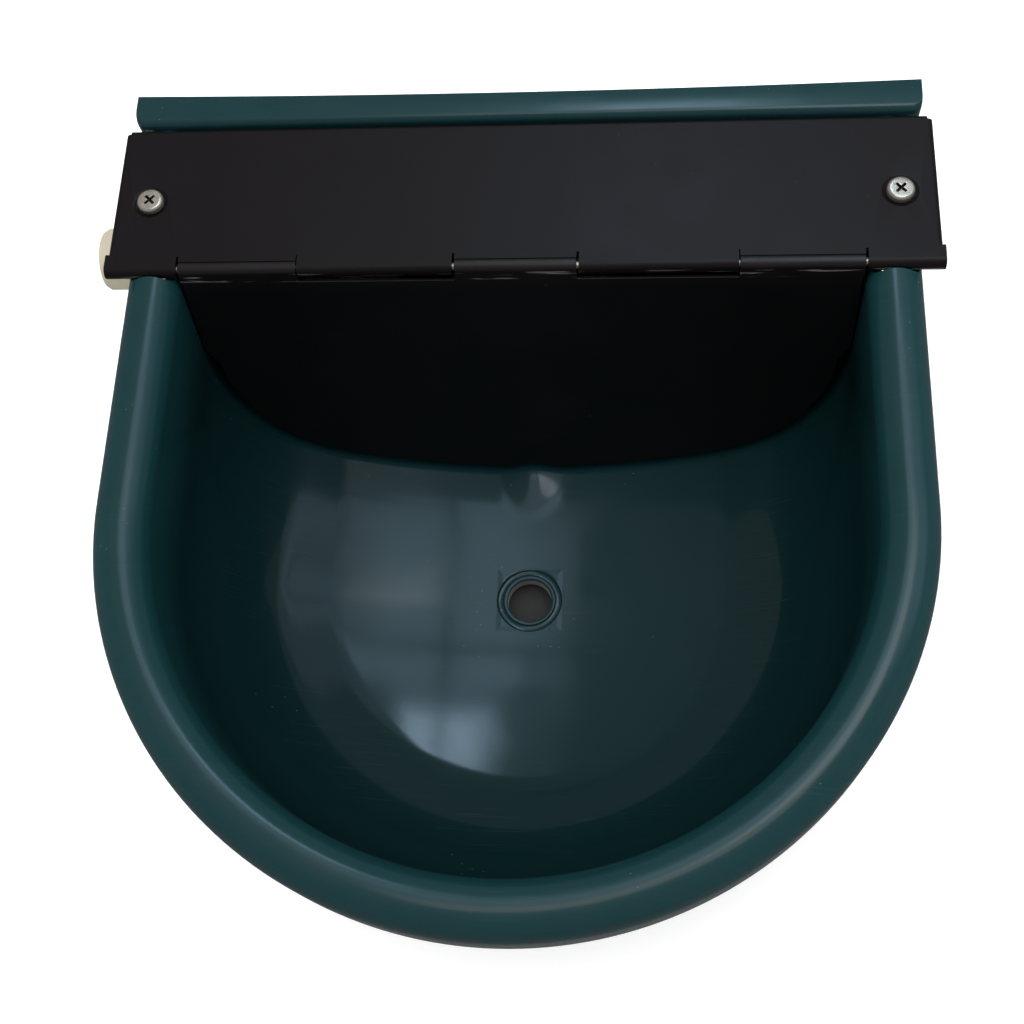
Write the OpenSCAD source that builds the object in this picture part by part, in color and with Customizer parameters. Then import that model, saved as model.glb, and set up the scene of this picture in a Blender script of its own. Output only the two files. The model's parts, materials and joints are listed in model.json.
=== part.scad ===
// Float-valve water trough for livestock: a moulded D-shaped bowl with a flat back for the wall, a
// folded steel cover screwed on its rear rim, a guard plate hinged to the cover, and a side-inlet
// float valve in the chamber behind the guard.
// The modules work in the bowl frame, in millimetres: X to the right, Y towards the wall, Z up, with
// the origin on the axis of the round front at the height of the rim bead's centre. in_row_frame()
// then puts the origin midway between the two wall holes, on the back face.

/* [Bowl] */
// Outside width over the rim bead
rim_w = 290; // [280:1:300]
// Distance from the axis of the round front to the back face
back_y = 164; // [160:1:168]
// Depth of the drinking bowl's floor below the bead's centre
bowl_depth = 104.5; // [102:0.5:107]
// Width of the rolled rim bead
bead_w = 20; // [18:1:22]
// Thickness of the moulded wall
wall = 3; // [2.5:0.1:3.5]
// Radius of the wide curve between the side wall and the floor
corner_r = 60; // [52:1:66]
// Radius of the shallow dish of the floor
dish_r = 290; // [250:5:400]
// How far the rim's outer skirt hangs below the bead's centre
skirt_h = 14; // [10:1:15]
// Thickness of the flat back wall
back_t = 4; // [3:0.5:5]
// Depth of the ledge along the top of the back wall
ledge_d = 13.5; // [12:0.5:14]
// Height of the ledge's top above the bead's centre
ledge_z = 14; // [13.5:0.5:16]
// Diameter of the drain hole
drain_d = 18; // [16:0.5:20]
// Height of the level on which the bowl stands, measured from the bead's centre
foot_z = -114; // [-118:1:-113]

/* [Wall holes] */
// Distance between the two wall holes
wall_hole_pitch = 180; // [160:5:200]
// Diameter of each wall hole
wall_hole_d = 7; // [6:0.5:8]
// Height of the wall holes, measured from the bead's centre
wall_hole_z = -8; // [-12:1:-6]

/* [Cover and guard] */
// Width of the cover over its folded sides
cover_w = 302; // [300:1:306]
// Thickness of the steel sheet
sheet = 1.5; // [1.2:0.1:1.6]
// Distance from the axis of the round front to the hinge pin
hinge_y = 90; // [88:1:92]
// Height of the hinge pin above the bead's centre
hinge_z = 8.5; // [8.5:0.1:9]
// Diameter of the hinge pin
hinge_pin_d = 3; // [2.8:0.1:3.2]
// Forward slope of the hanging guard, from the vertical
guard_slope = 15; // [14:0.5:16]
// Distance between the two cover screws
screw_pitch = 275; // [272:1:277]
// Distance from the axis of the round front to the cover screws
screw_y = 117.5; // [115:0.5:122]

/* [Float valve] */
// Distance from the axis of the round front to the valve's axis
valve_y = 119.5; // [117:0.5:122]
// Height of the valve's axis, measured from the bead's centre
valve_z = -32; // [-34:1:-31]
// Outer end of the inlet coupling, from the bowl's centre plane
inlet_x = -169; // [-172:1:-168]
// Distance from the lever's pivot to the plunger's axis
nose_arm = 13; // [13:0.5:13.5]
// Swing of the float lever from hanging to shut
float_swing = 22; // [20:1:22]
// Slope of the float lever below the horizontal when it hangs
float_rest = 17; // [16:1:18]
// Distance from the lever's pivot to the float's centre
float_arm = 84; // [80:1:86]
// Diameter of the float
float_d = 54; // [48:1:56]
// Height of the float
float_h = 34; // [30:1:36]

/* [Hidden] */
$fn = 96;
eps = 0.01;

green = [0.09, 0.23, 0.24];
black = [0.15, 0.15, 0.16];
steel = [0.75, 0.75, 0.74];
white = [0.92, 0.92, 0.90];
cream = [0.86, 0.84, 0.76];
rubber = [0.10, 0.10, 0.10];

// Bowl profile, in the plane of the radius and Z
bead_r = bead_w / 2;
bead_x = rim_w / 2 - bead_r;
inner_x = rim_w / 2 - bead_w;
wall_draft = 1.5;
wall_foot_x = inner_x - 1;
corner_x = wall_foot_x - corner_r * cos(wall_draft);
dish_z = dish_r - bowl_depth;
corner_z = dish_z - sqrt(pow(dish_r - corner_r, 2) - pow(corner_x, 2));
dish_half = atan(corner_x / (dish_z - corner_z));
arc_step = 5;
drain_recess = 0.8;

// Hinge barrels
barrel_in = hinge_pin_d / 2 + 0.06;
barrel_out = barrel_in + sheet;
barrel_clear = barrel_out + 0.75;
cover_half = cover_w / 2;
knuckle_1 = 22.5;
knuckle_2 = 80;
knuckle_3 = 124.5;
wide_gap = 0.4;
slim_gap = 0.2;

// The guard's three knuckles, each as its two ends along X
guard_knuckles = [[-knuckle_3 + wide_gap, -knuckle_2 - slim_gap],
    [-knuckle_1 + wide_gap, knuckle_1 - wide_gap],
    [knuckle_2 + slim_gap, knuckle_3 - wide_gap]];

// Cover
cover_z = hinge_z + barrel_in;
cover_back_y = back_y - ledge_d - 0.5;
flange_drop = 7;
dimple_depth = 1.2;
screw_hole_r = 2.7;

// Valve
wall_out_x = inner_x + wall;
boss_face_x = -(wall_out_x + 2);
pad_face_x = -(inner_x - 4);
seal_t = 2;
flange_x = pad_face_x + seal_t;
flange_t = 4;
barrel_x = flange_x + flange_t;
barrel_end_x = barrel_x + 25;
pivot_x = barrel_end_x + 14;
pivot_z = valve_z - nose_arm;
tail_r = 10.4;
plunger_r = 6.9;
nose_r = 2.5;
nose_lean = float_swing / 2;
plunger_stroke = 2 * nose_arm * sin(nose_lean);
nose_x = pivot_x + nose_arm * sin(nose_lean);
slot_half = nose_r + 0.3;
seal_face_x = nose_x - 27.5;
lever_half = 6.8;
ear_in = 7.2;
ear_t = 3.5;
rod_r = 2;

function arc(cx, cy, r, from, to, step = arc_step) =
    let (n = max(1, ceil(abs(to - from) / step)))
    [for (i = [0:n]) let (a = from + (to - from) * i / n) [cx + r * cos(a), cy + r * sin(a)]];

// The bowl's surface from the middle of the floor to the bead, moved outwards by a wall's thickness
function bowl_line(out) = concat(
    arc(0, dish_z, dish_r + out, -90, -90 + dish_half, 2),
    [for (i = [1:1:18]) let (a = -90 + dish_half + (90 - dish_half - wall_draft) * i / 18)
        [corner_x + (corner_r + out) * cos(a), corner_z + (corner_r + out) * sin(a)]],
    [[inner_x + out, 0]]);

function reversed(list) = [for (i = [len(list) - 1:-1:0]) list[i]];
function mirrored(list) = [for (p = list) [-p[0], p[1]]];
function tail(list) = [for (i = [1:1:len(list) - 1]) list[i]];

// Wall, bead and skirt in one outline, from the axis outwards and back
bead_over = tail(arc(bead_x, 0, bead_r, 180, 0, 10));
bead_under = arc(bead_x, 0, bead_r - wall, 0, 180, 10);
shell_outline = concat(bowl_line(0), bead_over,
    [[rim_w / 2, -skirt_h], [rim_w / 2 - wall, -skirt_h]],
    bead_under, tail(reversed(bowl_line(wall))));

module in_row_frame() {
    translate([0, -back_y, -wall_hole_z]) children();
}

module along_x(x0, x1, r) {
    translate([x0, 0, 0]) rotate([0, 90, 0]) cylinder(h = x1 - x0, r = r);
}

module at_valve() {
    translate([0, valve_y, valve_z]) children();
}

module ring_x(x0, x1, r_out, r_in) {
    difference() {
        along_x(x0, x1, r_out);
        along_x(x0 - 1, x1 + 1, r_in);
    }
}

// ---- Bowl ----

module front_shell() {
    rotate([0, 0, 180]) rotate_extrude(angle = 180) polygon(shell_outline);
}

module straight_shell() {
    section = concat(shell_outline, mirrored(reversed(shell_outline)));
    translate([0, back_y - back_t + eps, 0]) rotate([90, 0, 0])
        linear_extrude(back_y - back_t + eps) polygon(section);
}

module back_wall() {
    r = 68;
    half = rim_w / 2;
    top = ledge_z - 2;
    side = concat(arc(half - r, foot_z + r, r, -90, 0, 6), [[half, top]]);
    translate([0, back_y, 0]) rotate([90, 0, 0]) linear_extrude(back_t)
        polygon(concat(side, mirrored(reversed(side))));
}

module ledge() {
    front = back_y - ledge_d;
    half = rim_w / 2 + 2.5;
    edge_r = 3;
    lip_z = 3;
    plan = concat(arc(half - 4, front + 4, 4, -90, 0, 15), [[half, back_y]]);
    rise = concat([[back_y, lip_z], [back_y, ledge_z - 1], [back_y - 1, ledge_z]],
        arc(front + edge_r, ledge_z - edge_r, edge_r, 90, 180, 15), [[front, lip_z]]);
    difference() {
        intersection() {
            linear_extrude(ledge_z + 5) polygon(concat(plan, mirrored(reversed(plan))));
            rotate([90, 0, 90]) linear_extrude(2 * half + 10, center = true) polygon(rise);
        }
        translate([-half + wall, front + wall, 0])
            cube([2 * (half - wall), ledge_d - wall - back_t, ledge_z - wall]);
    }
}

// Thick round pads inside and outside the side wall, where the valve is clamped
module inlet_pads() {
    at_valve() {
        along_x(boss_face_x, pad_face_x - 2, 15);
        along_x(-inner_x, pad_face_x, 17);
    }
}

module drain_collar() {
    translate([0, 0, -bowl_depth - 6.5]) cylinder(h = 6, r = drain_d / 2 + 5);
}

module screw_bosses() {
    for (side = [-1, 1])
        translate([side * screw_pitch / 2, screw_y, -skirt_h])
            cylinder(h = skirt_h + bead_r - 2.5, r = 5.2);
}

// Smooth raised nose on the floor under the middle of the guard
module floor_nose() {
    nose_h = 3;
    base_r = 16;
    swell = [for (r = [0:1:base_r]) [r, nose_h * (1 + cos(180 * r / base_r)) / 2 - 0.05]];
    translate([0, 55, -bowl_depth]) rotate_extrude()
        polygon(concat(swell, [[base_r, -1], [0, -1]]));
}

// The bowl's inside, moved outwards by a thickness, as a solid
module hollow(out) {
    half = concat(bowl_line(out), [[0, 0]]);
    rotate([0, 0, 180]) rotate_extrude(angle = 180) polygon(half);
    translate([0, back_y, 0]) rotate([90, 0, 0]) linear_extrude(back_y + eps)
        polygon(concat(bowl_line(out), mirrored(reversed(bowl_line(out)))));
}

module foot_ring() {
    difference() {
        translate([0, 0, foot_z]) cylinder(h = 18, r = 66);
        translate([0, 0, foot_z - 1]) cylinder(h = 20, r = 63);
        hollow(wall / 2);
    }
}

module bowl_cuts() {
    translate([0, 0, foot_z]) cylinder(h = -foot_z, r = drain_d / 2);
    translate([0, 0, -bowl_depth - drain_recess]) difference() {
        cylinder(h = 6, r = drain_d / 2 + 4.2);
        translate([0, 0, -1]) cylinder(h = 1 + drain_recess, r = drain_d / 2 + 1.4);
    }
    at_valve() along_x(boss_face_x - 1, pad_face_x + 1, tail_r + 0.3);
    for (side = [-1, 1]) {
        translate([side * wall_hole_pitch / 2, back_y - back_t - 1, wall_hole_z])
            rotate([-90, 0, 0]) cylinder(h = back_t + 2, r = wall_hole_d / 2);
        translate([side * screw_pitch / 2, screw_y, -skirt_h - 1])
            cylinder(h = 40, r = 2.45);
        translate([side * screw_pitch / 2, screw_y, bead_r - 1.6]) cylinder(h = 5, r = 7.5);
        translate([side > 0 ? inner_x - 4 : -rim_w / 2 - 4, hinge_y, hinge_z])
            along_x(0, bead_w + 8, barrel_clear);
    }
}

module bowl() {
    color(green) in_row_frame() difference() {
        union() {
            front_shell();
            straight_shell();
            back_wall();
            ledge();
            inlet_pads();
            drain_collar();
            screw_bosses();
            floor_nose();
            foot_ring();
        }
        bowl_cuts();
    }
}

// ---- Cover, guard and hinge ----

// A knuckle rolled from the sheet: a barrel round the hinge pin and the leg that leads back to the
// sheet. The pin's axis is the origin's X axis, and the sheet leaves towards +Y, above the pin.
module knuckle(x0, x1) {
    leg = barrel_clear + 1;
    outline = concat([[leg, barrel_out]], arc(0, 0, barrel_out, 90, 335, 10),
        arc(0, 0, barrel_in, 335, 90, 10), [[leg, barrel_in]]);
    translate([x0, 0, 0]) rotate([90, 0, 90]) linear_extrude(x1 - x0) polygon(outline);
}

module cover_top() {
    bend_r = 2;
    front = hinge_y + barrel_clear;
    back = cover_back_y;
    flange_half = inner_x - 1;
    rise = concat([[front, cover_z], [back - bend_r, cover_z]],
        arc(back - bend_r, cover_z + sheet - bend_r, bend_r - sheet, 90, 0, 30),
        [[back - sheet, cover_z + sheet - flange_drop], [back, cover_z + sheet - flange_drop]],
        arc(back - bend_r, cover_z + sheet - bend_r, bend_r, 0, 90, 15),
        [[front, cover_z + sheet]]);
    difference() {
        translate([-cover_half + bend_r, 0, 0]) rotate([90, 0, 90])
            linear_extrude(cover_w - 2 * bend_r) polygon(rise);
        for (side = [-1, 1]) translate([side * (flange_half + cover_half) - cover_half, back - 5, 0])
            cube([cover_w, 10, cover_z]);
    }
}

// Strips that bring the plate's front edge close behind the guard's knuckles
module cover_strips() {
    for (ends = guard_knuckles) translate([0, hinge_y, hinge_z]) difference() {
        translate([ends[0], 1, barrel_in]) cube([ends[1] - ends[0], barrel_clear, sheet]);
        along_x(ends[0] - 1, ends[1] + 1, barrel_out + 0.3);
    }
}

// Folded side flange that hangs outside the rim
module cover_side() {
    bend_r = 2;
    z = cover_z + sheet;
    x = cover_half;
    section = concat([[x - bend_r, z - sheet]],
        arc(x - bend_r, z - bend_r, bend_r - sheet, 90, 0, 30),
        [[x - sheet, z - flange_drop], [x, z - flange_drop]],
        arc(x - bend_r, z - bend_r, bend_r, 0, 90, 15));
    translate([0, cover_back_y - bend_r, 0]) rotate([90, 0, 0])
        linear_extrude(cover_back_y - bend_r - hinge_y - barrel_clear) polygon(section);
}

// Pressed dimple that takes a pan head
module screw_dimple() {
    top = cover_z + sheet;
    rotate_extrude() polygon([[screw_hole_r, top - dimple_depth], [5.4, top - dimple_depth],
        [7, top], [9, top], [9, top - sheet], [7.3, top - sheet],
        [5.9, top - sheet - dimple_depth], [screw_hole_r, top - sheet - dimple_depth]]);
}

module cover_plate() {
    color(black) in_row_frame() {
        difference() {
            union() {
                cover_top();
                cover_strips();
                cover_side();
                mirror([1, 0, 0]) cover_side();
            }
            for (side = [-1, 1]) translate([side * screw_pitch / 2, screw_y, cover_z - 1])
                cylinder(h = sheet + 2, r = 8);
        }
        for (side = [-1, 1]) translate([side * screw_pitch / 2, screw_y, 0]) screw_dimple();
        for (side = [0, 1]) mirror([side, 0, 0]) translate([0, hinge_y, hinge_z]) {
            knuckle(knuckle_3 + wide_gap, cover_half + 0.8);
            knuckle(knuckle_1 + wide_gap, knuckle_2 - slim_gap);
        }
    }
}

// Pan-head screw with a cross recess, its head's underside at z = 0
module pan_screw(length) {
    head_r = 5;
    head_h = 3;
    difference() {
        rotate_extrude() polygon(concat([[0, -length]], [[0.3, -length], [2.4, -length + 5],
            [2.4, 0], [head_r - 0.3, 0], [head_r, 0.4]],
            arc(head_r - 1.4, head_h - 1.4, 1.4, 5, 80, 15),
            [[0, head_h]]));
        for (turn = [0, 90]) rotate([0, 0, turn + 45])
            translate([-2.4, -0.55, head_h - 1.8]) cube([4.8, 1.1, 3]);
    }
}

module cover_screws() {
    color(steel) in_row_frame() for (side = [-1, 1])
        translate([side * screw_pitch / 2, screw_y, cover_z + sheet - dimple_depth])
            pan_screw(22);
}

module hinge_pin() {
    color(steel) in_row_frame() translate([0, hinge_y, hinge_z])
        along_x(-cover_half, cover_half, hinge_pin_d / 2);
}

// The guard's outline in its own plane: half-width, and distance down the sheet from the pin.
// Seen along the sheet, the straight bowl's section is stretched by the slope.
guard_clear = 4.5;
function down_sheet(z) = (hinge_z + barrel_in * sin(guard_slope) - z) / cos(guard_slope);
guard_edge = [for (p = bowl_line(-guard_clear)) [p[0], -down_sheet(p[1])]];

module guard_sheet() {
    top = -barrel_clear;
    side_x = inner_x - 1.4;
    side = concat([for (i = [0:len(guard_edge) - 2]) guard_edge[i]],
        [[side_x, -down_sheet(-30)], [side_x, top]]);
    notch_y = -down_sheet(-bowl_depth) - 3.5;
    difference() {
        linear_extrude(sheet) polygon(concat(side, mirrored(reversed(side))));
        translate([0, notch_y, -1]) cylinder(h = sheet + 2, r = 11);
    }
}

module guard_plate() {
    color(black) in_row_frame() {
        translate([0, hinge_y, hinge_z]) rotate([90 - guard_slope, 0, 0]) {
            translate([0, 0, barrel_in]) guard_sheet();
            for (ends = guard_knuckles) mirror([0, 1, 0]) knuckle(ends[0], ends[1]);
        }
    }
}

// ---- Float valve ----

module ear(side) {
    y = side > 0 ? ear_in : -ear_in - ear_t;
    outline = [[barrel_end_x - 3, 8], [barrel_end_x + 8, 8], [pivot_x + 8, -8],
        [pivot_x + 12, -27], [pivot_x + 3, -27], [barrel_end_x - 3, -9]];
    translate([0, y + ear_t, 0]) rotate([90, 0, 0]) linear_extrude(ear_t) polygon(outline);
}

module valve_body() {
    color(white) in_row_frame() at_valve() difference() {
        union() {
            along_x(inlet_x + 19.7, flange_x + 1, tail_r);
            along_x(flange_x, barrel_x, 15);
            along_x(barrel_x, barrel_end_x, 12.5);
            ear(1);
            ear(-1);
            translate([pivot_x + 7.3, ear_in + 1, -nose_arm - 9]) rotate([90, 0, 0])
                cylinder(h = 2 * ear_in + 2, r = 1.6);
        }
        along_x(inlet_x, barrel_x + 20, 5.5);
        along_x(flange_x + 3, barrel_end_x + 1, plunger_r + 0.08);
        translate([barrel_x + 8.5, -4.5, -20]) cube([8, 9, 14]);
        translate([pivot_x, ear_in + ear_t + 1, -nose_arm]) rotate([90, 0, 0])
            cylinder(h = 2 * (ear_in + ear_t) + 2, r = 2.04);
    }
}

nozzle_x = flange_x + 3.05;
nozzle_lip_x = seal_face_x - plunger_stroke - 0.15;

module valve_nozzle() {
    color(steel) in_row_frame() at_valve() difference() {
        union() {
            along_x(nozzle_x, nozzle_x + 7.5, plunger_r + 0.05);
            translate([nozzle_x + 7.5, 0, 0]) rotate([0, 90, 0])
                cylinder(h = nozzle_lip_x - nozzle_x - 7.5, r1 = 6, r2 = 3.2);
        }
        along_x(nozzle_x - 1, nozzle_lip_x + 1, 1.8);
        ring_x(nozzle_x + 2.5, nozzle_x + 4.7, plunger_r + 1, 5.1);
    }
}

module nozzle_ring() {
    color(rubber) in_row_frame() at_valve() translate([nozzle_x + 3.6, 0, 0])
        rotate([0, 90, 0]) rotate_extrude() translate([6.02, 0]) circle(r = 0.9);
}

module flange_seal() {
    color(rubber) in_row_frame() at_valve() ring_x(pad_face_x, flange_x, 15.5, tail_r + 0.1);
}

module coupling_washer() {
    color(rubber) in_row_frame() at_valve()
        ring_x(boss_face_x - 1.5, boss_face_x, 14, tail_r + 0.1);
}

module inlet_coupling() {
    inner_end = boss_face_x - 1.5;
    hex_r = 12 / cos(30);
    chamfer = [[0, inlet_x], [11.2, inlet_x], [12.6, inlet_x + 2.2], [hex_r + 1, inlet_x + 5],
        [hex_r + 1, inlet_x + 20], [12.6, inlet_x + 21.5], [12.6, inner_end], [0, inner_end]];
    color(cream) in_row_frame() at_valve() difference() {
        intersection() {
            translate([inlet_x - 1, 0, 0]) rotate([0, 90, 0]) rotate([0, 0, 30])
                cylinder(h = inner_end - inlet_x + 2, r = hex_r, $fn = 6);
            rotate([0, 90, 0]) rotate_extrude() polygon(chamfer);
        }
        along_x(inlet_x - 1, inlet_x + 14, 9.32);
        along_x(inlet_x + 13, inlet_x + 18, 7);
        along_x(inlet_x + 17, inner_end + 1, tail_r + 0.05);
    }
}

module inlet_strainer() {
    x = inlet_x + 17.05;
    color(white) in_row_frame() at_valve() difference() {
        along_x(x, x + 1.3, 10);
        for (ring = [1:2]) for (i = [1:6 * ring])
            rotate([60 * i / ring, 0, 0]) translate([0, 2.4 * ring, 0]) along_x(x - 1, x + 3, 0.8);
        along_x(x - 1, x + 3, 0.8);
    }
}

module inlet_gasket() {
    color(rubber) in_row_frame() at_valve() ring_x(inlet_x + 18.4, inlet_x + 19.65, 10.2, 6.5);
}

module pivot_pin() {
    y = ear_in + ear_t;
    color(steel) in_row_frame() translate([pivot_x, valve_y, pivot_z]) rotate([90, 0, 0]) {
        difference() {
            translate([0, 0, -y - 2.6]) cylinder(h = 2 * y + 2.7, r = rod_r);
            translate([0, 0, -y - 1.5]) difference() {
                cylinder(h = 1, r = 3);
                cylinder(h = 1, r = 1.6);
            }
        }
        translate([0, 0, y + 0.05]) cylinder(h = 1.6, r = 3.3);
    }
}

module pin_clip() {
    y = ear_in + ear_t;
    color(steel) in_row_frame() translate([pivot_x, valve_y + y + 0.6, pivot_z])
        rotate([-90, 0, 0]) difference() {
            cylinder(h = 0.8, r = 4);
            translate([0, 0, -1]) cylinder(h = 3, r = 1.65);
            translate([-1.3, -5, -1]) cube([2.6, 5, 3]);
        }
}

module plunger() {
    color(white) in_row_frame() at_valve() difference() {
        along_x(seal_face_x + 1, nose_x + 5.5, plunger_r);
        along_x(seal_face_x, seal_face_x + 3, 5.05);
        translate([nose_x - slot_half, -4, -9]) cube([2 * slot_half, 8, 13]);
    }
}

module plunger_seal() {
    color(rubber) in_row_frame() at_valve() along_x(seal_face_x, seal_face_x + 3, 5);
}

// Everything on the lever is drawn with its arm along X and then swung down to where it hangs
module hanging() {
    translate([pivot_x, valve_y, pivot_z]) rotate([0, float_rest, 0]) children();
}

module valve_lever() {
    color(white) in_row_frame() hanging() difference() {
        union() {
            rotate([90, 0, 0]) translate([0, 0, -lever_half]) cylinder(h = 2 * lever_half, r = 5);
            along_x(2, 20, 4.5);
            rotate([0, nose_lean - float_rest, 0]) {
                translate([-1.2, -3, 3]) cube([2.4, 6, nose_arm - 3]);
                translate([0, 3, nose_arm]) rotate([90, 0, 0]) cylinder(h = 6, r = nose_r);
            }
        }
        translate([0, lever_half + 1, 0]) rotate([90, 0, 0])
            cylinder(h = 2 * lever_half + 2, r = rod_r + 0.06);
        along_x(9, 21, rod_r + 0.05);
    }
}

module float_rod() {
    color(steel) in_row_frame() hanging() along_x(9.2, float_arm - float_d / 2 + 2.2, rod_r);
}

module rod_nut(x) {
    difference() {
        translate([x, 0, 0]) rotate([0, 90, 0]) cylinder(h = 3.2, r = 7 / 2 / cos(30), $fn = 6);
        along_x(x - 1, x + 5, rod_r + 0.05);
    }
}

module rod_nuts() {
    color(steel) in_row_frame() hanging() {
        rod_nut(20.1);
        rod_nut(float_arm - float_d / 2 - 9.4);
    }
}

// Outline of the float's skin, in the plane of its radius and height, moved inwards by a thickness
function float_skin(inset) =
    let (r = float_d / 2, h = float_h / 2, edge = 9)
    concat([[0, -h + inset]],
        arc(r - edge, -h + edge, edge - inset, -90, 0, 10),
        arc(r - edge, h - edge, edge - inset, 0, 90, 10), [[0, h - inset]]);

cap_z = 0.5 * float_h - 9;

module float_shell() {
    color(white) in_row_frame() hanging() translate([float_arm, 0, 0]) difference() {
        union() {
            rotate_extrude() polygon(float_skin(0));
            along_x(-float_d / 2 - 6, -float_d / 2 + 4, 5);
        }
        translate([0, 0, cap_z]) cylinder(h = 30, r = float_d);
        rotate_extrude() polygon(float_skin(1.6));
        along_x(-float_d / 2 - 7, -float_d / 2 + 2.5, rod_r + 0.05);
    }
}

module float_cap() {
    color(white) in_row_frame() hanging() translate([float_arm, 0, 0]) difference() {
        intersection() {
            rotate_extrude() polygon(float_skin(0));
            translate([0, 0, cap_z]) cylinder(h = 30, r = float_d);
        }
        rotate_extrude() polygon(float_skin(1.6));
    }
}

bowl();
cover_plate();
cover_screws();
hinge_pin();
guard_plate();
valve_body();
valve_nozzle();
nozzle_ring();
flange_seal();
coupling_washer();
inlet_coupling();
inlet_strainer();
inlet_gasket();
pivot_pin();
pin_clip();
plunger();
plunger_seal();
valve_lever();
float_rod();
rod_nuts();
float_shell();
float_cap();
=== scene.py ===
import json
import math

import bmesh
import bpy
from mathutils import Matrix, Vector

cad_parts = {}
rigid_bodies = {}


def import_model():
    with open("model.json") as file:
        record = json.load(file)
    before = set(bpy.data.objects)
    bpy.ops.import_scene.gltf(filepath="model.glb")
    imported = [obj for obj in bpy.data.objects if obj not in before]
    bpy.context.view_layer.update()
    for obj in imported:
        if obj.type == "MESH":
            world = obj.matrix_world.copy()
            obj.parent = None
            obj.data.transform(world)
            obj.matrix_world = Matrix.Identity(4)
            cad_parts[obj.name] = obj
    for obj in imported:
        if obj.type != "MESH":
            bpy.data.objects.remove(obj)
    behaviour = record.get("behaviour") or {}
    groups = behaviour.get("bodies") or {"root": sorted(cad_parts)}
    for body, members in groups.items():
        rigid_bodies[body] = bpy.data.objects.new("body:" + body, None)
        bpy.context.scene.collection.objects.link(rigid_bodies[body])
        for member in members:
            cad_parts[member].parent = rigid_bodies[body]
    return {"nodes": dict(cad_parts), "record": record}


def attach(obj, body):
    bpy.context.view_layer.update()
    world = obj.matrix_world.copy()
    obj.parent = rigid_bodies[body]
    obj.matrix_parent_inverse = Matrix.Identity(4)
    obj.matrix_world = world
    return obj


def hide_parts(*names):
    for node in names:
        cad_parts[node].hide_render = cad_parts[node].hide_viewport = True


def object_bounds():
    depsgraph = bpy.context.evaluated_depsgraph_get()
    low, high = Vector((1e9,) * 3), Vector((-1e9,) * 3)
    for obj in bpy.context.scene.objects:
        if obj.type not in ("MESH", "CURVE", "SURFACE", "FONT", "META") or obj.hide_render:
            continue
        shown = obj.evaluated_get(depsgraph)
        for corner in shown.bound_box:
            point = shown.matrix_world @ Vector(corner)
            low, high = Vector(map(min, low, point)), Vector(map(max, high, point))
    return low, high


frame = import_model()
cad_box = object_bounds()
nodes = frame["nodes"]

# The bowl's own frame, in millimetres: the origin is on the axis of the round front, at the height of
# the rim bead's centre. row() turns it into the CAD frame, in metres.
BACK_Y = 164
HOLE_Z = -8
RIM_R = 145
INNER_R = 125
BEAD_R = 10
WALL = 3
SKIRT_H = 14
DEPTH = 104.5
DISH_R = 290
CORNER_R = 60
DRAFT = 1.5
BACK_T = 4
BACK_CORNER_R = 68
FOOT_Z = -114
FOOT_R, FOOT_INNER_R = 66, 63
LEDGE_FRONT = 150.5
LEDGE_Z = 14
LEDGE_BASE = 3
LEDGE_EDGE_R = 3
LEDGE_HALF = 147.5
LEDGE_CORNER_R = 4
LEDGE_BOW = 1.8
DRAIN_R, DRAIN_TOP_R, DRAIN_BOSS_R = 9, 14.2, 14
HINGE_Y, HINGE_Z = 90, 8.5
HINGE_GAP_R = 3.81
SCREW_X, SCREW_Y = 137.5, 117.5
SCREW_HOLE_R, SCREW_SEAT_R, SCREW_BOSS_R = 2.45, 7.5, 5.2
VALVE_Y, VALVE_Z = 119.5, -32
VALVE_HOLE_R, VALVE_BOSS_R, VALVE_PAD_R = 10.7, 15, 17
WALL_HOLE_X, WALL_HOLE_R = 90, 3.5
NOSE_Y, NOSE_HALF, NOSE_REACH, NOSE_H = 59, 16, 24, 2.2


def row(x, y, z):
    return Vector((x, y - BACK_Y, z - HOLE_Z)) / 1000


# ---- Camera, light and floor ----

CAMERA_LENS = 50.98
CAMERA_PLACE = (0.04443, -0.34689, 0.46927)
CAMERA_TURN = (21.495, 4.582, 1.964)


def add_camera():
    camera = bpy.data.objects.new("camera", bpy.data.cameras.new("camera"))
    camera.data.sensor_width = 36
    camera.data.lens = CAMERA_LENS
    camera.data.clip_start = 0.02
    camera.location = CAMERA_PLACE
    camera.rotation_euler = [math.radians(a) for a in CAMERA_TURN]
    bpy.context.scene.collection.objects.link(camera)
    bpy.context.scene.camera = camera


def add_softbox(name, x_range, y_range, height, radiance, colour=(1, 1, 1)):
    """A light panel that faces straight down; its ranges are in the CAD frame."""
    light = bpy.data.lights.new(name, "AREA")
    light.shape = "RECTANGLE"
    light.size, light.size_y = x_range[1] - x_range[0], y_range[1] - y_range[0]
    light.energy = radiance * math.pi * light.size * light.size_y
    light.color = colour
    lamp = bpy.data.objects.new(name, light)
    lamp.location = (sum(x_range) / 2, sum(y_range) / 2, height)
    lamp.visible_diffuse = False
    bpy.context.scene.collection.objects.link(lamp)
    return lamp


def add_split_softbox(name, x_range, y_range, height, radiance):
    """A softbox made of two panels, with a dark seam between them."""
    add_softbox(name + "_left", (x_range[0], SEAM_X - SEAM / 2), y_range, height, radiance, DAYLIGHT)
    add_softbox(name + "_right", (SEAM_X + SEAM / 2, x_range[1]), y_range, height, radiance, DAYLIGHT)


FRONT_FALL, FRONT_LEAST = 0.9, 0.35


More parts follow.
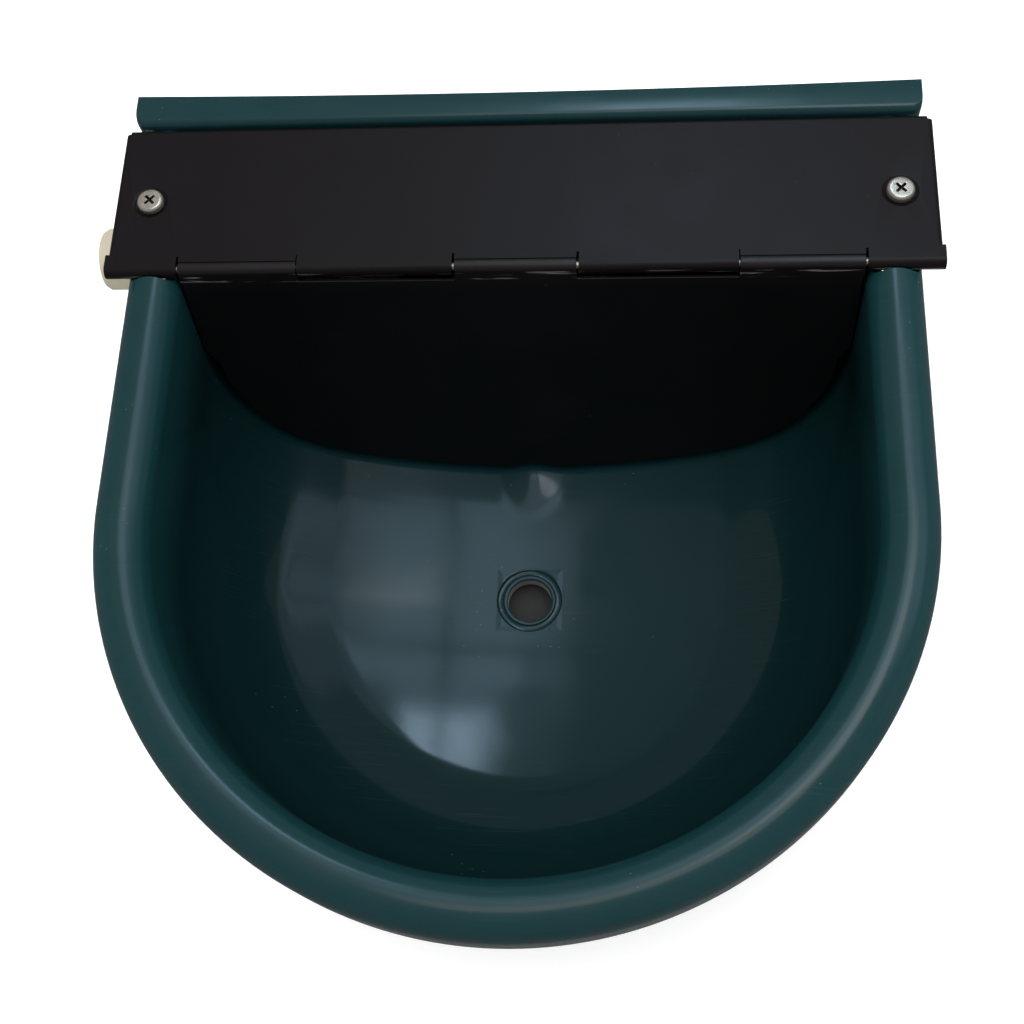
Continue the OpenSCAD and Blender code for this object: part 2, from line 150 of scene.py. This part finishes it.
def add_world(low, high, reflected):
    """A dome that is brightest overhead, dimmer in front, faint in reflections and white to the camera."""
    world = bpy.data.worlds.new("studio")
    world.use_nodes = True
    tree = world.node_tree

    def maths(operation, *values):
        node = tree.nodes.new("ShaderNodeMath")
        node.operation = operation
        for socket, value in zip(node.inputs, values):
            if isinstance(value, (int, float)):
                socket.default_value = value
            else:
                tree.links.new(value, socket)
        return node.outputs[0]

    direction = tree.nodes.new("ShaderNodeSeparateXYZ")
    tree.links.new(tree.nodes.new("ShaderNodeTexCoord").outputs["Generated"], direction.inputs[0])
    path = tree.nodes.new("ShaderNodeLightPath")
    overhead = maths("POWER", maths("MAXIMUM", direction.outputs["Z"], 0), 4)
    light = maths("MULTIPLY_ADD", overhead, high, low)
    dimmed = maths("MULTIPLY_ADD", direction.outputs["Y"], FRONT_FALL, 1)
    light = maths("MULTIPLY", light, maths("MAXIMUM", maths("MINIMUM", dimmed, 1), FRONT_LEAST))
    shown = path.outputs["Is Glossy Ray"]
    light = maths("ADD", maths("MULTIPLY", light, maths("SUBTRACT", 1, shown)),
                  maths("MULTIPLY", shown, reflected))
    light = maths("ADD", light, path.outputs["Is Camera Ray"])
    tree.links.new(light, tree.nodes["Background"].inputs["Strength"])
    tree.nodes["Background"].inputs["Color"].default_value = (1, 1, 1, 1)
    bpy.context.scene.world = world


FLOOR_HALF = 4
DARK_R, PALE_R = 0.04, 0.06


def add_floor():
    """A pale floor that glows for the camera only, with a painted shadow, dark and without glow, where the
    open drain shows it.
    """
    mesh = bpy.data.meshes.new("floor")
    bm = bmesh.new()
    bmesh.ops.create_grid(bm, x_segments=1, y_segments=1, size=FLOOR_HALF)
    bm.to_mesh(mesh)
    bm.free()
    floor = bpy.data.objects.new("floor", mesh)
    floor.location = (0, 0, cad_box[0].z)
    bpy.context.scene.collection.objects.link(floor)
    material = bpy.data.materials.new("floor")
    material.use_nodes = True
    shader = material.node_tree.nodes["Principled BSDF"]
    shader.inputs["Roughness"].default_value = 0.9
    tree = material.node_tree
    away = tree.nodes.new("ShaderNodeVectorMath")
    away.operation = "LENGTH"
    shift = tree.nodes.new("ShaderNodeVectorMath")
    shift.inputs[1].default_value = (0, BACK_Y / 1000, 0)
    tree.links.new(tree.nodes.new("ShaderNodeTexCoord").outputs["Object"], shift.inputs[0])
    tree.links.new(shift.outputs["Vector"], away.inputs[0])
    # Painted shadow: the floor is dark and does not glow within DARK_R of the drain.
    for socket, inside, outside in (("Base Color", 0.02, 0.9), ("Emission Color", 0, 0.35)):
        shade = tree.nodes.new("ShaderNodeMapRange")
        shade.inputs["From Min"].default_value = DARK_R
        shade.inputs["From Max"].default_value = PALE_R
        shade.inputs["To Min"].default_value = inside
        shade.inputs["To Max"].default_value = outside
        tree.links.new(away.outputs["Value"], shade.inputs["Value"])
        tree.links.new(shade.outputs["Result"], shader.inputs[socket])
    seen = tree.nodes.new("ShaderNodeLightPath").outputs["Is Camera Ray"]
    tree.links.new(seen, shader.inputs["Emission Strength"])
    floor.visible_glossy = False
    mesh.materials.append(material)


bpy.context.scene.view_settings.view_transform = "Standard"
add_camera()
add_world(low=0.05, high=4.0, reflected=0.15)
add_floor()

DAYLIGHT = (0.55, 0.77, 1)
SEAM_X, SEAM = 0.088, 0.024
SOFTBOX_Z = 1.308
PANEL_STEP = 0.005
# Name, x range, y range and radiance of the panels over the bowl, from the highest to the lowest.
PANELS = (
    ("near", (-0.23, 2.2), (-0.05, 0.44), 0.8),
    ("middle", (-0.23, 2.2), (0.462, 0.58), 0.8),
    ("far", (-0.23, 2.2), (0.58, 0.986), 0.3),
    ("near_wide", (-0.2, 0.34), (0.2, 0.44), 0.2),
    ("near_bright", (-0.12, 0.28), (0.2, 0.44), 0.5),
    ("middle_bright", (-0.1, 0.46), (0.462, 0.58), 0.9),
    ("hot_wide", (-0.06, 0.22), (0.58, 0.97), 0.9),
    ("hot_middle", (-0.04, 0.19), (0.63, 0.94), 2.2),
    ("hot_core", (-0.01, 0.165), (0.68, 0.9), 3.6),
)
for level, (name, x_range, y_range, radiance) in enumerate(PANELS):
    add_split_softbox(name, x_range, y_range, SOFTBOX_Z - PANEL_STEP * level, radiance)
add_softbox("front_softbox", (-0.25, 0.6), (-0.5, -0.07), SOFTBOX_Z, 1.0)
add_softbox("right_softbox", (0.12, 0.6), (-0.15, 0.3), SOFTBOX_Z - PANEL_STEP / 2, 1.5)
# The side strips light the surfaces and leave no reflection, the other way round from the softboxes.
SIDE_X, SIDE_Y, SIDE_Z, SIDE_TILT = 1.5, -0.15, 0.35, 80
for side, radiance in ((-1, 2.9), (1, 4.9)):
    strip = add_softbox("side_strip", (-0.2, 0.2), (-0.6, 0.6), SIDE_Z, radiance)
    strip.location = (SIDE_X * side, SIDE_Y, SIDE_Z)
    strip.rotation_euler = (0, math.radians(SIDE_TILT * side), 0)
    strip.visible_glossy, strip.visible_diffuse = False, True


# ---- Procedural materials ----

class Finish:
    """A material's node tree, with short ways to add what its finish is made of."""

    def __init__(self, name, colour, roughness, metallic=0.0):
        self.material = bpy.data.materials.new(name)
        self.material.use_nodes = True
        self.tree = self.material.node_tree
        self.shader = self.tree.nodes["Principled BSDF"]
        self.shader.inputs["Metallic"].default_value = metallic
        self.coords = self.tree.nodes.new("ShaderNodeTexCoord").outputs["Object"]
        self.colour = self.rgb(colour)
        self.roughness = self.value(roughness)
        self.normal = None

    def rgb(self, colour):
        node = self.tree.nodes.new("ShaderNodeRGB")
        node.outputs[0].default_value = (*colour, 1)
        return node.outputs[0]

    def value(self, number):
        node = self.tree.nodes.new("ShaderNodeValue")
        node.outputs[0].default_value = number
        return node.outputs[0]

    def mapped(self, stretch=(1, 1, 1), turn=(0, 0, 0), shift=(0, 0, 0)):
        node = self.tree.nodes.new("ShaderNodeMapping")
        node.inputs["Scale"].default_value = stretch
        node.inputs["Rotation"].default_value = [math.radians(a) for a in turn]
        node.inputs["Location"].default_value = shift
        self.tree.links.new(self.coords, node.inputs["Vector"])
        return node.outputs["Vector"]

    def noise(self, scale, detail=3, **mapping):
        node = self.tree.nodes.new("ShaderNodeTexNoise")
        node.inputs["Scale"].default_value = scale
        node.inputs["Detail"].default_value = detail
        self.tree.links.new(self.mapped(**mapping), node.inputs["Vector"])
        return node.outputs["Fac"]

    def specks(self, scale, radius, **mapping):
        node = self.tree.nodes.new("ShaderNodeTexVoronoi")
        node.inputs["Scale"].default_value = scale
        self.tree.links.new(self.mapped(**mapping), node.inputs["Vector"])
        return self.ramp(node.outputs["Distance"], radius, radius * 0.6, 0, 1)

    def ramp(self, socket, low, high, at_low, at_high):
        node = self.tree.nodes.new("ShaderNodeMapRange")
        for key, number in zip(("From Min", "From Max", "To Min", "To Max"),
                               (low, high, at_low, at_high)):
            node.inputs[key].default_value = number
        self.tree.links.new(socket, node.inputs["Value"])
        return node.outputs["Result"]

    def maths(self, operation, first, second):
        node = self.tree.nodes.new("ShaderNodeMath")
        node.operation = operation
        for socket, item in zip(node.inputs, (first, second)):
            if isinstance(item, (int, float)):
                socket.default_value = item
            else:
                self.tree.links.new(item, socket)
        return node.outputs[0]

    def place(self, axis):
        node = self.tree.nodes.new("ShaderNodeSeparateXYZ")
        self.tree.links.new(self.coords, node.inputs[0])
        return node.outputs[axis]

    def along(self, axis, low, high):
        """A mask that rises from 0 to 1 between two places on an axis of the CAD frame."""
        return self.ramp(self.place(axis), low, high, 0, 1)

    def tint(self, mask, colour):
        node = self.tree.nodes.new("ShaderNodeMix")
        node.data_type = "RGBA"
        self.tree.links.new(mask, node.inputs["Factor"])
        self.tree.links.new(self.colour, node.inputs["A"])
        node.inputs["B"].default_value = (*colour, 1)
        self.colour = [s for s in node.outputs if s.type == "RGBA"][0]

    def roughen(self, mask, amount):
        self.roughness = self.maths("ADD", self.roughness, self.maths("MULTIPLY", mask, amount))

    def bump(self, height, depth):
        node = self.tree.nodes.new("ShaderNodeBump")
        node.inputs["Distance"].default_value = depth
        self.tree.links.new(height, node.inputs["Height"])
        if self.normal:
            self.tree.links.new(self.normal, node.inputs["Normal"])
        self.normal = node.outputs["Normal"]

    def scratches(self, turn, width=0.0004, length=0.03, amount=0.3, low=0.66, shift=0):
        streaks = self.noise(1, 1, stretch=(1 / length, 1 / width, 1 / length), turn=(0, 0, turn),
                             shift=(shift, shift, 0))
        patches = self.noise(14, 2, shift=(shift + 3, 1, 2))
        lines = self.ramp(streaks, low, low + 0.05, 0, 1)
        return self.maths("MULTIPLY", lines, self.ramp(patches, 0.45, 0.6, 0, amount))

    def done(self):
        links = self.tree.links
        links.new(self.colour, self.shader.inputs["Base Color"])
        links.new(self.roughness, self.shader.inputs["Roughness"])
        if self.normal:
            links.new(self.normal, self.shader.inputs["Normal"])
        return self.material


def green_plastic():
    look = Finish("green_plastic", (0.0065, 0.035, 0.040), 0.09)
    look.tint(look.ramp(look.noise(9, 3), 0.3, 0.7, 0, 0.5), (0.008, 0.04, 0.045))
    look.tint(look.ramp(look.noise(60, 4), 0.5, 0.75, 0, 0.35), (0.005, 0.03, 0.035))
    # Painted shade: the bowl is painted darker below the bead, where the walls lie in shade.
    inside = look.maths("MULTIPLY", look.along("Z", 0.004, -0.022), 0.8)
    look.tint(inside, (0.0028, 0.0125, 0.0135))
    # Painted light: the floor is painted lighter than the walls, as if lit from above.
    look.tint(look.maths("MULTIPLY", look.along("Z", -0.082, -0.094), 0.45), (0.006, 0.027, 0.032))
    dust = look.maths("MULTIPLY", look.specks(260, 0.08), look.ramp(look.noise(20), 0.58, 0.63, 0, 1))
    look.tint(dust, (0.1, 0.13, 0.13))
    for turn, shift in ((12, 0), (68, 4), (-35, 8)):
        lines = look.scratches(turn, shift=shift, amount=0.14, low=0.7)
        look.tint(lines, (0.05, 0.085, 0.09))
        look.roughen(lines, 0.3)
    look.roughen(look.ramp(look.noise(35, 4), 0.35, 0.7, 0, 1), 0.05)
    look.roughen(look.along("Z", -0.008, 0.006), 0.08)
    look.bump(look.noise(14, 2), 0.0004)
    look.bump(look.noise(420, 2), 0.000006)
    pad_x = look.maths("ABSOLUTE", look.place("X"), 0)
    pad_y = look.maths("ABSOLUTE", look.maths("ADD", look.place("Y"), BACK_Y / 1000), 0)
    pad = look.ramp(look.maths("MAXIMUM", pad_x, pad_y), 0.0134, 0.0114, 0, 1)
    look.bump(look.maths("MULTIPLY", pad, look.along("Z", -0.09, -0.092)), 0.00012)
    return look.done()


WORN = (0.2, 0.2, 0.2)


def coated(name, colour, roughness, specular, unshaded_hinge_colour=None):
    look = Finish(name, colour, roughness)
    look.shader.inputs["Specular IOR Level"].default_value = specular
    look.tint(look.ramp(look.noise(11, 3), 0.3, 0.7, 0, 0.4), [c * 1.3 for c in colour])
    # Painted shade: with a darker colour given, the coat keeps its own colour only near the hinge and is
    # painted darker below.
    if unshaded_hinge_colour:
        look.tint(look.along("Z", 0.009, 0.0135), unshaded_hinge_colour)
    look.tint(look.ramp(look.noise(700, 2), 0.5, 0.75, 0, 0.3), [c * 0.7 for c in colour])
    dust = look.maths("MULTIPLY", look.specks(230, 0.07), look.ramp(look.noise(24), 0.6, 0.65, 0, 1))
    look.tint(dust, (0.08, 0.08, 0.08))
    for turn, shift in ((5, 1), (80, 5), (-30, 9)):
        lines = look.scratches(turn, shift=shift, amount=0.12, low=0.7)
        look.tint(lines, [c * 3 + 0.01 for c in colour])
        look.roughen(lines, 0.1)
    front = look.maths("MULTIPLY", look.along("Y", -0.0769, -0.07702), look.along("Z", 0.0135, 0.0145))
    chips = look.ramp(look.noise(1, 3, stretch=(45, 700, 700)), 0.55, 0.6, 0, 0.8)
    look.tint(look.maths("MULTIPLY", front, chips), WORN)
    look.roughen(look.ramp(look.noise(50, 4), 0.35, 0.7, 0, 1), 0.06)
    look.bump(look.noise(900, 2), 0.000012)
    look.bump(look.noise(10, 2), 0.0003)
    return look.done()


SCREW_HEAD_Z = 0.0211, 0.0206
RECESS_R_SQUARED = 7.5e-6, 6.8e-6
METAL_GRAIN = (60, 2400, 60)


def painted_recess_shade(look):
    """A mask of painted shade in the recesses of the two cover screws' heads."""
    across = look.maths("SUBTRACT", look.maths("ABSOLUTE", look.place("X"), 0), SCREW_X / 1000)
    along = look.maths("ADD", look.place("Y"), (BACK_Y - SCREW_Y) / 1000)
    away = look.maths("ADD", look.maths("MULTIPLY", across, across), look.maths("MULTIPLY", along, along))
    return look.maths("MULTIPLY", look.ramp(away, *RECESS_R_SQUARED, 0, 1), look.along("Z", *SCREW_HEAD_Z))


def metal(name, colour, roughness, metallic):
    look = Finish(name, colour, roughness, metallic)
    look.tint(look.ramp(look.noise(120, 4), 0.4, 0.75, 0, 0.4), [c * 0.6 for c in colour])
    # Painted shade darkens the recesses in the screw heads.
    look.tint(painted_recess_shade(look), (0.05, 0.035, 0.03))
    look.roughen(look.ramp(look.noise(300, 3), 0.35, 0.7, 0, 1), 0.12)
    look.bump(look.noise(1, 2, stretch=METAL_GRAIN), 0.00001)
    return look.done()


def light_plastic(name, colour, roughness):
    look = Finish(name, colour, roughness)
    look.tint(look.ramp(look.noise(40, 4), 0.4, 0.75, 0, 0.5), [c * 0.86 for c in colour])
    look.tint(look.scratches(20, amount=0.3), [c * 0.6 for c in colour])
    look.roughen(look.ramp(look.noise(90, 3), 0.35, 0.7, 0, 1), 0.1)
    look.bump(look.noise(500, 2), 0.00002)
    look.bump(look.noise(60, 2), 0.0001)
    return look.done()


def rubber():
    look = Finish("rubber", (0.012, 0.012, 0.012), 0.6)
    look.tint(look.ramp(look.noise(200, 4), 0.4, 0.75, 0, 0.6), (0.03, 0.03, 0.028))
    look.roughen(look.ramp(look.noise(150, 3), 0.35, 0.7, 0, 1), 0.15)
    look.bump(look.noise(1200, 2), 0.00003)
    return look.done()


CHARCOAL = (0.0058, 0.0036, 0.0043)
FINISHES = {
    "green_plastic": green_plastic(),
    "coated_steel": coated("coated_steel", CHARCOAL, 0.36, 0.25),
    # The guard is the cover's coat with painted shade below the hinge.
    "guard_steel": coated("guard_steel", (0.0022, 0.0022, 0.0024), 0.36, 0.5, CHARCOAL),
    "stainless_steel": metal("stainless_steel", (0.78, 0.71, 0.6), 0.22, 0.9),
    "white_plastic": light_plastic("white_plastic", (0.72, 0.72, 0.69), 0.4),
    "float_plastic": light_plastic("float_plastic", (0.75, 0.75, 0.72), 0.28),
    "cream_plastic": light_plastic("cream_plastic", (0.6, 0.54, 0.41), 0.42),
    "brass": metal("brass", (0.55, 0.36, 0.12), 0.25, 0.9),
    "rubber": rubber(),
}


# ---- The bowl ----

CORNER_X = INNER_R - 1 - CORNER_R * math.cos(math.radians(DRAFT))
DISH_Z = DISH_R - DEPTH
CORNER_Z = DISH_Z - math.sqrt((DISH_R - CORNER_R) ** 2 - CORNER_X ** 2)
DISH_HALF = math.atan(CORNER_X / (DISH_Z - CORNER_Z))
BAND_R = (78, 97)
BAND_SLOPE = 0.445
# The strip in the middle of the floor starts STRIP_START behind the drain, after STRIP_FIRST steps.
STRIP = 22
STRIP_CELLS = 20
STRIP_START = 25
STRIP_FIRST = 5
SHELL_END = BACK_Y - BACK_T + 2


def spread(low, high, count):
    return [low + (high - low) * i / count for i in range(count + 1)]


def arc(cx, cz, r, start, end, count):
    return [(cx + r * math.cos(a), cz + r * math.sin(a))
            for a in (math.radians(d) for d in spread(start, end, count))]


def dish(r, out=0):
    return DISH_Z - math.sqrt((DISH_R + out) ** 2 - r * r)


def floor_z(x, y, out=0):
    z = dish(math.hypot(x, y) if y < 0 else abs(x), out)
    away = math.hypot(x / NOSE_HALF, (y - NOSE_Y) / NOSE_REACH)
    if out == 0 and away < 1:
        z += NOSE_H * (1 + math.cos(math.pi * away)) / 2
    return z


def wall_line(out):
    """The bowl's surface from the strip in the middle of the floor up to the bead."""
    if out:
        end, start = (DISH_R + out) * math.sin(DISH_HALF), math.degrees(DISH_HALF) - 90
        line = [(r, dish(r, out)) for r in spread(STRIP, end, 14)]
    else:
        end, start = BAND_R[0], -math.degrees(math.acos((BAND_R[1] - CORNER_X) / CORNER_R))
        line = [(r, dish(r)) for r in spread(STRIP, end, 14)]
        line += [(r, dish(end) + (r - end) * BAND_SLOPE) for r in spread(end, BAND_R[1] - 1.5, 6)[1:]]
    line += arc(CORNER_X, CORNER_Z, CORNER_R + out, start, -DRAFT, 28)[1:]
    low = line[-1]
    return line + [(low[0] + (INNER_R + out - low[0]) * t, low[1] * (1 - t)) for t in (0.3, 0.65)]


def shell_profile():
    bead_x = RIM_R - BEAD_R
    edge = arc(RIM_R - 1, -SKIRT_H + 1, 1, 0, -90, 4) + arc(RIM_R - WALL + 1, -SKIRT_H + 1, 1, -90, -180, 4)
    return (wall_line(0) + arc(bead_x, 0, BEAD_R, 180, 0, 36) + [(RIM_R, -5), (RIM_R, -9)] + edge
            + [(RIM_R - WALL, -6)] + arc(bead_x, 0, BEAD_R - WALL, 0, 180, 18) + wall_line(WALL)[::-1])


def stations():
    """Where the profile is repeated, from the right of the back wall round the front to its left."""
    ys = spread(0, STRIP_START, STRIP_FIRST) + spread(STRIP_START, 85, 24)[1:] + spread(85, 160, 15)[1:]
    ys.append(SHELL_END)
    right = [lambda r, y=y: (r, y) for y in reversed(ys[1:])]
    front = [lambda r, a=a: (r * math.cos(a), r * math.sin(a)) for a in spread(0, -math.pi, 112)]
    left = [lambda r, y=y: (-r, y) for y in ys[1:]]
    return ys, right + front + left


def drain_rings():
    """Radius and height of each ring from the floor down the drain to the underside."""
    lip = -DEPTH
    return ([(DRAIN_TOP_R, None), (13.5, None), (13.2, lip - 0.1), (13.05, lip - 0.7), (12.8, lip - 0.9)]
            + [(11.0, lip - 0.9), (10.75, lip - 0.75), (10.6, lip - 0.2), (10.4, lip), (9.6, lip + 0.05)]
            + [(9.25, lip - 0.05), (DRAIN_R, lip - 0.35), (DRAIN_R, lip - 1)]
            + [(DRAIN_R, lip - 6), (DRAIN_R + 0.4, lip - 6.5), (13.6, lip - 6.5), (DRAIN_BOSS_R, lip - 6.1)]
            + [(DRAIN_BOSS_R, lip - 3.3)])


def bowl_shell():
    bm = bmesh.new()
    ys, places = stations()
    profile = shell_profile()
    grid = [[bm.verts.new(row(*place(r), z)) for r, z in profile] for place in places]
    for a, b in zip(grid, grid[1:]):
        for i in range(len(profile) - 1):
            bm.faces.new((a[i], a[i + 1], b[i + 1], b[i]))

    def strip_rows(index, out):
        rows = []
        for k, y in enumerate(ys[STRIP_FIRST:], STRIP_FIRST):
            right, left = grid[len(ys) - 1 - k][index], grid[len(places) - len(ys) + k][index]
            inside = [bm.verts.new(row(x, y, floor_z(x, y, out)))
                      for x in spread(-STRIP, STRIP, STRIP_CELLS)[1:-1]]
            rows.append([left] + inside + [right])
        for a, b in zip(rows, rows[1:]):
            for i in range(STRIP_CELLS):
                bm.faces.new((a[i], a[i + 1], b[i + 1], b[i]))
        return rows

    def edge_loop(index, rows):
        start = len(ys) - 1 - STRIP_FIRST
        round_front = [grid[k][index] for k in range(start, len(places) - start)]
        return round_front + rows[0][1:-1]

    top, bottom = 0, len(profile) - 1
    top_rows, bottom_rows = strip_rows(top, 0), strip_rows(bottom, WALL)
    top_edge, bottom_edge = edge_loop(top, top_rows), edge_loop(bottom, bottom_rows)

    def in_bowl(vert):
        return vert.co.x * 1000, vert.co.y * 1000 + BACK_Y

    def blend_ring(edge, share, inner_r, out):
        ring = []
        for vert in edge:
            x, y = in_bowl(vert)
            far = math.hypot(x, y)
            k = (inner_r + (far - inner_r) * share) / far
            ring.append(bm.verts.new(row(x * k, y * k, floor_z(x * k, y * k, out))))
        return ring

    rings = [top_edge] + [blend_ring(top_edge, t, DRAIN_TOP_R, 0) for t in (0.75, 0.5, 0.25)]
    for r, z in drain_rings():
        ring = []
        for vert in top_edge:
            x, y = in_bowl(vert)
            x, y = x * r / math.hypot(x, y), y * r / math.hypot(x, y)
            ring.append(bm.verts.new(row(x, y, floor_z(x, y) if z is None else z)))
        rings.append(ring)
    rings += [blend_ring(bottom_edge, t, DRAIN_BOSS_R, WALL) for t in (0.25, 0.5, 0.75)] + [bottom_edge]
    for a, b in zip(rings, rings[1:]):
        for i in range(len(a)):
            j = (i + 1) % len(a)
            bm.faces.new((a[i], a[j], b[j], b[i]))

    end = grid[0] + bottom_rows[-1][-2:0:-1] + grid[-1][::-1] + top_rows[-1][1:-1]
    bm.faces.new(end)
    bmesh.ops.recalc_face_normals(bm, faces=bm.faces)
    return bm


def swept(sections):
    """A closed solid through sections that are rings with the same number of points."""
    bm = bmesh.new()
    rings = [[bm.verts.new(p) for p in section] for section in sections]
    for a, b in zip(rings, rings[1:]):
        for i in range(len(a)):
            j = (i + 1) % len(a)
            bm.faces.new((a[i], a[j], b[j], b[i]))
    bm.faces.new(rings[0])
    bm.faces.new(rings[-1][::-1])
    bmesh.ops.recalc_face_normals(bm, faces=bm.faces)
    return bm


def ledge_solid():
    def section(x):
        near_end = max(0, abs(x) - (LEDGE_HALF - LEDGE_CORNER_R))
        front = LEDGE_FRONT + LEDGE_CORNER_R - math.sqrt(LEDGE_CORNER_R ** 2 - near_end ** 2)
        points = [(BACK_Y, LEDGE_BASE)] + spread_points((BACK_Y, LEDGE_BASE), (BACK_Y, LEDGE_Z - 1), 3)
        points += arc(BACK_Y - 1, LEDGE_Z - 1, 1, 0, 90, 5)
        points += arc(front + LEDGE_EDGE_R, LEDGE_Z - LEDGE_EDGE_R, LEDGE_EDGE_R, 90, 180, 10)
        points += [(front, LEDGE_BASE)]
        bow = LEDGE_BOW * (1 - (x / LEDGE_HALF) ** 2)
        return [row(x, y - bow * (z - LEDGE_BASE) / (LEDGE_Z - LEDGE_BASE)
                    * (y - front) / (BACK_Y - front), z) for y, z in points]

    end = [LEDGE_HALF - LEDGE_CORNER_R * (1 - math.sin(math.radians(a))) for a in range(0, 91, 10)]
    xs = [-x for x in reversed(end)] + spread(-end[0], end[0], 60)[1:-1] + end
    return swept([section(x) for x in xs])


def spread_points(start, end, count):
    return [(start[0] + (end[0] - start[0]) * t, start[1] + (end[1] - start[1]) * t)
            for t in spread(0, 1, count)[1:]]


def back_wall_solid():
    r = BACK_CORNER_R
    half = [(x, z) for x, z in arc(RIM_R - r, FOOT_Z + r, r, -90, 0, 24)]
    outline = half + [(RIM_R, LEDGE_BASE + 1)]
    outline += [(-x, z) for x, z in reversed(outline)]
    return swept([[row(x, y, z) for x, z in outline] for y in (BACK_Y - BACK_T, BACK_Y)])


def tube(start, end, r, count=64):
    """A cylinder between two points of the bowl's frame."""
    start, end = row(*start), row(*end)
    turn = (end - start).to_track_quat("Z", "Y").to_matrix()
    ring = [turn @ Vector((r * math.cos(a), r * math.sin(a), 0)) / 1000
            for a in (2 * math.pi * i / count for i in range(count))]
    return swept([[start + p for p in ring], [end + p for p in ring]])


def foot_ring_solid():
    bm = bmesh.new()
    count = 128
    rings = []
    for r, low in ((FOOT_R, True), (FOOT_R, False), (FOOT_INNER_R, False), (FOOT_INNER_R, True)):
        ring = []
        for i in range(count):
            a = 2 * math.pi * i / count
            x, y = r * math.cos(a), r * math.sin(a)
            ring.append(bm.verts.new(row(x, y, FOOT_Z if low else floor_z(x, y, WALL) + 1.2)))
        rings.append(ring)
    for a, b in zip(rings, rings[1:] + rings[:1]):
        for i in range(count):
            j = (i + 1) % count
            bm.faces.new((a[i], a[j], b[j], b[i]))
    bmesh.ops.recalc_face_normals(bm, faces=bm.faces)
    return bm


def as_object(name, bm, collection):
    mesh = bpy.data.meshes.new(name)
    bm.to_mesh(mesh)
    bm.free()
    thing = bpy.data.objects.new(name, mesh)
    collection.objects.link(thing)
    return thing


def bowl_additions():
    solids = [ledge_solid(), back_wall_solid(), foot_ring_solid()]
    solids.append(tube((-130, VALVE_Y, VALVE_Z), (-123.5, VALVE_Y, VALVE_Z), VALVE_BOSS_R))
    solids.append(tube((-126.5, VALVE_Y, VALVE_Z), (-121, VALVE_Y, VALVE_Z), VALVE_PAD_R))
    for x in (-SCREW_X, SCREW_X):
        solids.append(tube((x, SCREW_Y, -SKIRT_H), (x, SCREW_Y, 7.5), SCREW_BOSS_R))
    return solids


def bowl_cuts():
    solids = [tube((-135, VALVE_Y, VALVE_Z), (-115, VALVE_Y, VALVE_Z), VALVE_HOLE_R)]
    for side in (-1, 1):
        x = side * WALL_HOLE_X
        solids.append(tube((x, BACK_Y - BACK_T - 1, HOLE_Z), (x, BACK_Y + 1, HOLE_Z), WALL_HOLE_R))
        x = side * SCREW_X
        solids.append(tube((x, SCREW_Y, -20), (x, SCREW_Y, 20), SCREW_HOLE_R))
        solids.append(tube((x, SCREW_Y, BEAD_R - 1.6), (x, SCREW_Y, 20), SCREW_SEAT_R))
        solids.append(tube((side * 121, HINGE_Y, HINGE_Z), (side * 155, HINGE_Y, HINGE_Z), HINGE_GAP_R))
    return solids


def merged(base, operation, solids):
    group = bpy.data.collections.new(operation)
    bpy.context.scene.collection.children.link(group)
    for solid in solids:
        as_object(operation, solid, group)
    modifier = base.modifiers.new(operation, "BOOLEAN")
    modifier.operation = operation
    modifier.solver = "EXACT"
    modifier.operand_type = "COLLECTION"
    modifier.collection = group
    result = bpy.data.meshes.new_from_object(base.evaluated_get(bpy.context.evaluated_depsgraph_get()))
    base.modifiers.clear()
    base.data = result
    for thing in list(group.objects):
        bpy.data.objects.remove(thing)
    bpy.data.collections.remove(group)


def smooth(mesh, angle):
    for polygon in mesh.polygons:
        polygon.use_smooth = True
    mesh.set_sharp_from_angle(angle=math.radians(angle))


def add_bowl():
    bowl = as_object("bowl_moulding", bowl_shell(), bpy.context.scene.collection)
    merged(bowl, "UNION", bowl_additions())
    merged(bowl, "DIFFERENCE", bowl_cuts())
    smooth(bowl.data, 40)
    bowl.data.materials.clear()
    bowl.data.materials.append(FINISHES["green_plastic"])
    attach(bowl, "trough")
    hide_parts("bowl")


# ---- The parts that keep their CAD shape ----

def finish_node(name, slot):
    node = nodes[name]
    node.data.materials.clear()
    node.data.materials.append(FINISHES[slot])
    smooth(node.data, 30)
    weld = node.modifiers.new("weld", "WELD")
    weld.merge_threshold = 0.00002
    bevel = node.modifiers.new("bevel", "BEVEL")
    bevel.width = 0.00025
    bevel.segments = 2
    bevel.limit_method = "ANGLE"
    bevel.angle_limit = math.radians(40)
    bevel.harden_normals = False
    weighted = node.modifiers.new("normals", "WEIGHTED_NORMAL")
    weighted.keep_sharp = True


add_bowl()
for part in frame["record"]["subparts"]:
    if part["node"] != "bowl":
        finish_node(part["node"], part["material_slot"])
